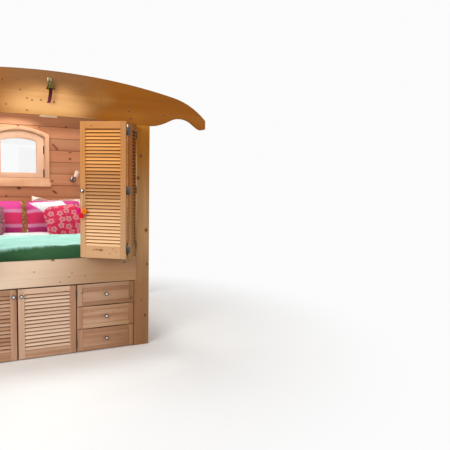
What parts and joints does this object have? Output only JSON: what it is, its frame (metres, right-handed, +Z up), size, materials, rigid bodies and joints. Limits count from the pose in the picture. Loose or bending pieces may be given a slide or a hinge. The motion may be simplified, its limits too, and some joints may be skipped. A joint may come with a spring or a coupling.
{
  "type": "box bed alcove of a gypsy wagon",
  "caption": "Built-in box bed across the end of a bow-roofed living wagon, with louvred cupboard doors, drawers, folding louvred leaves and an arched window in the end wall.",
  "frame": {"origin": "middle of the object on the floor, under the centre of its bounding box", "axes": "+X to the right along the bulkhead, +Y from the room to the end wall, +Z up"},
  "size_m": [2.7, 2.3095, 2.257],
  "materials": {
    "bulkhead_pine": "oiled golden pine board",
    "wall_pine": "planed pinkish pine planks",
    "leaf_pine": "clear varnished pine louvres",
    "front_pine": "satin pine fronts",
    "carcase_wood": "planed softwood",
    "chrome": "polished",
    "hinge_steel": "zinc plated",
    "window_glass": "clear double glazing",
    "mattress_cloth": "woven cotton cover",
    "quilt_cloth": "green brushed cotton",
    "pillow_cloth": "white cotton",
    "striped_cloth": "woven pink stripes",
    "floral_cloth": "crimson print",
    "lamp_shade": "satin cream",
    "boss_metal": "aged",
    "strap_leather": "maroon hide",
    "catch_plastic": "pale cream",
    "tassel_yarn": "bright wool"
  },
  "bodies": {
    "root": {"bow_header": "bulkhead_pine", "bulkhead_posts": "bulkhead_pine", "bed_rail": "bulkhead_pine", "base_sides": "carcase_wood", "bed_side_rails": "carcase_wood", "deck_bearers": "carcase_wood", "base_divider": "carcase_wood", "bed_slats": "carcase_wood", "end_wall": "wall_pine", "window_lining": "wall_pine", "window_trim": "wall_pine", "window_casement": "wall_pine", "window_glass": "window_glass", "window_hinges": "hinge_steel", "mattress": "mattress_cloth", "quilt": "quilt_cloth", "pillows": "pillow_cloth", "striped_cushions": "striped_cloth", "floral_cushions": "floral_cloth", "lamp_brackets": "chrome", "lamp_shades": "lamp_shade", "bell_bracket": "boss_metal", "hanging_bell": "boss_metal", "bell_pull": "strap_leather", "pompom_cord": "tassel_yarn", "pompoms": "tassel_yarn", "catch_batten": "catch_plastic", "jamb_leaf_right": "leaf_pine", "free_leaf_right": "leaf_pine", "jamb_leaf_left": "leaf_pine", "free_leaf_left": "leaf_pine", "leaf_hinges": "hinge_steel", "leaf_knobs": "chrome", "door_hinges": "hinge_steel", "drawer_runners": "carcase_wood"},
    "door_left": {"door_left": "front_pine", "door_left_fittings": "chrome"},
    "door_right": {"door_right": "front_pine", "door_right_fittings": "chrome"},
    "drawer_1": {"drawer_front_1": "front_pine", "drawer_box_1": "carcase_wood", "drawer_knob_1": "chrome"},
    "drawer_2": {"drawer_front_2": "front_pine", "drawer_box_2": "carcase_wood", "drawer_knob_2": "chrome"},
    "drawer_3": {"drawer_front_3": "front_pine", "drawer_box_3": "carcase_wood", "drawer_knob_3": "chrome"}
  },
  "joints": [
    {"name": "door_left_hinge", "type": "hinge", "parent": "root", "child": "door_left", "pos_m": [-0.6925, -0.807, 0.29], "axis": [0, 0, -1], "range_deg": [0, 90]},
    {"name": "door_right_hinge", "type": "hinge", "parent": "root", "child": "door_right", "pos_m": [0.205, -0.807, 0.29], "axis": [0, 0, 1], "range_deg": [0, 90]},
    {"name": "drawer_1_slide", "type": "slide", "parent": "root", "child": "drawer_1", "axis": [0, -1, 0], "range_m": [0, 0.35]},
    {"name": "drawer_2_slide", "type": "slide", "parent": "root", "child": "drawer_2", "axis": [0, -1, 0], "range_m": [0, 0.35]},
    {"name": "drawer_3_slide", "type": "slide", "parent": "root", "child": "drawer_3", "axis": [0, -1, 0], "range_m": [0, 0.35]}
  ]
}
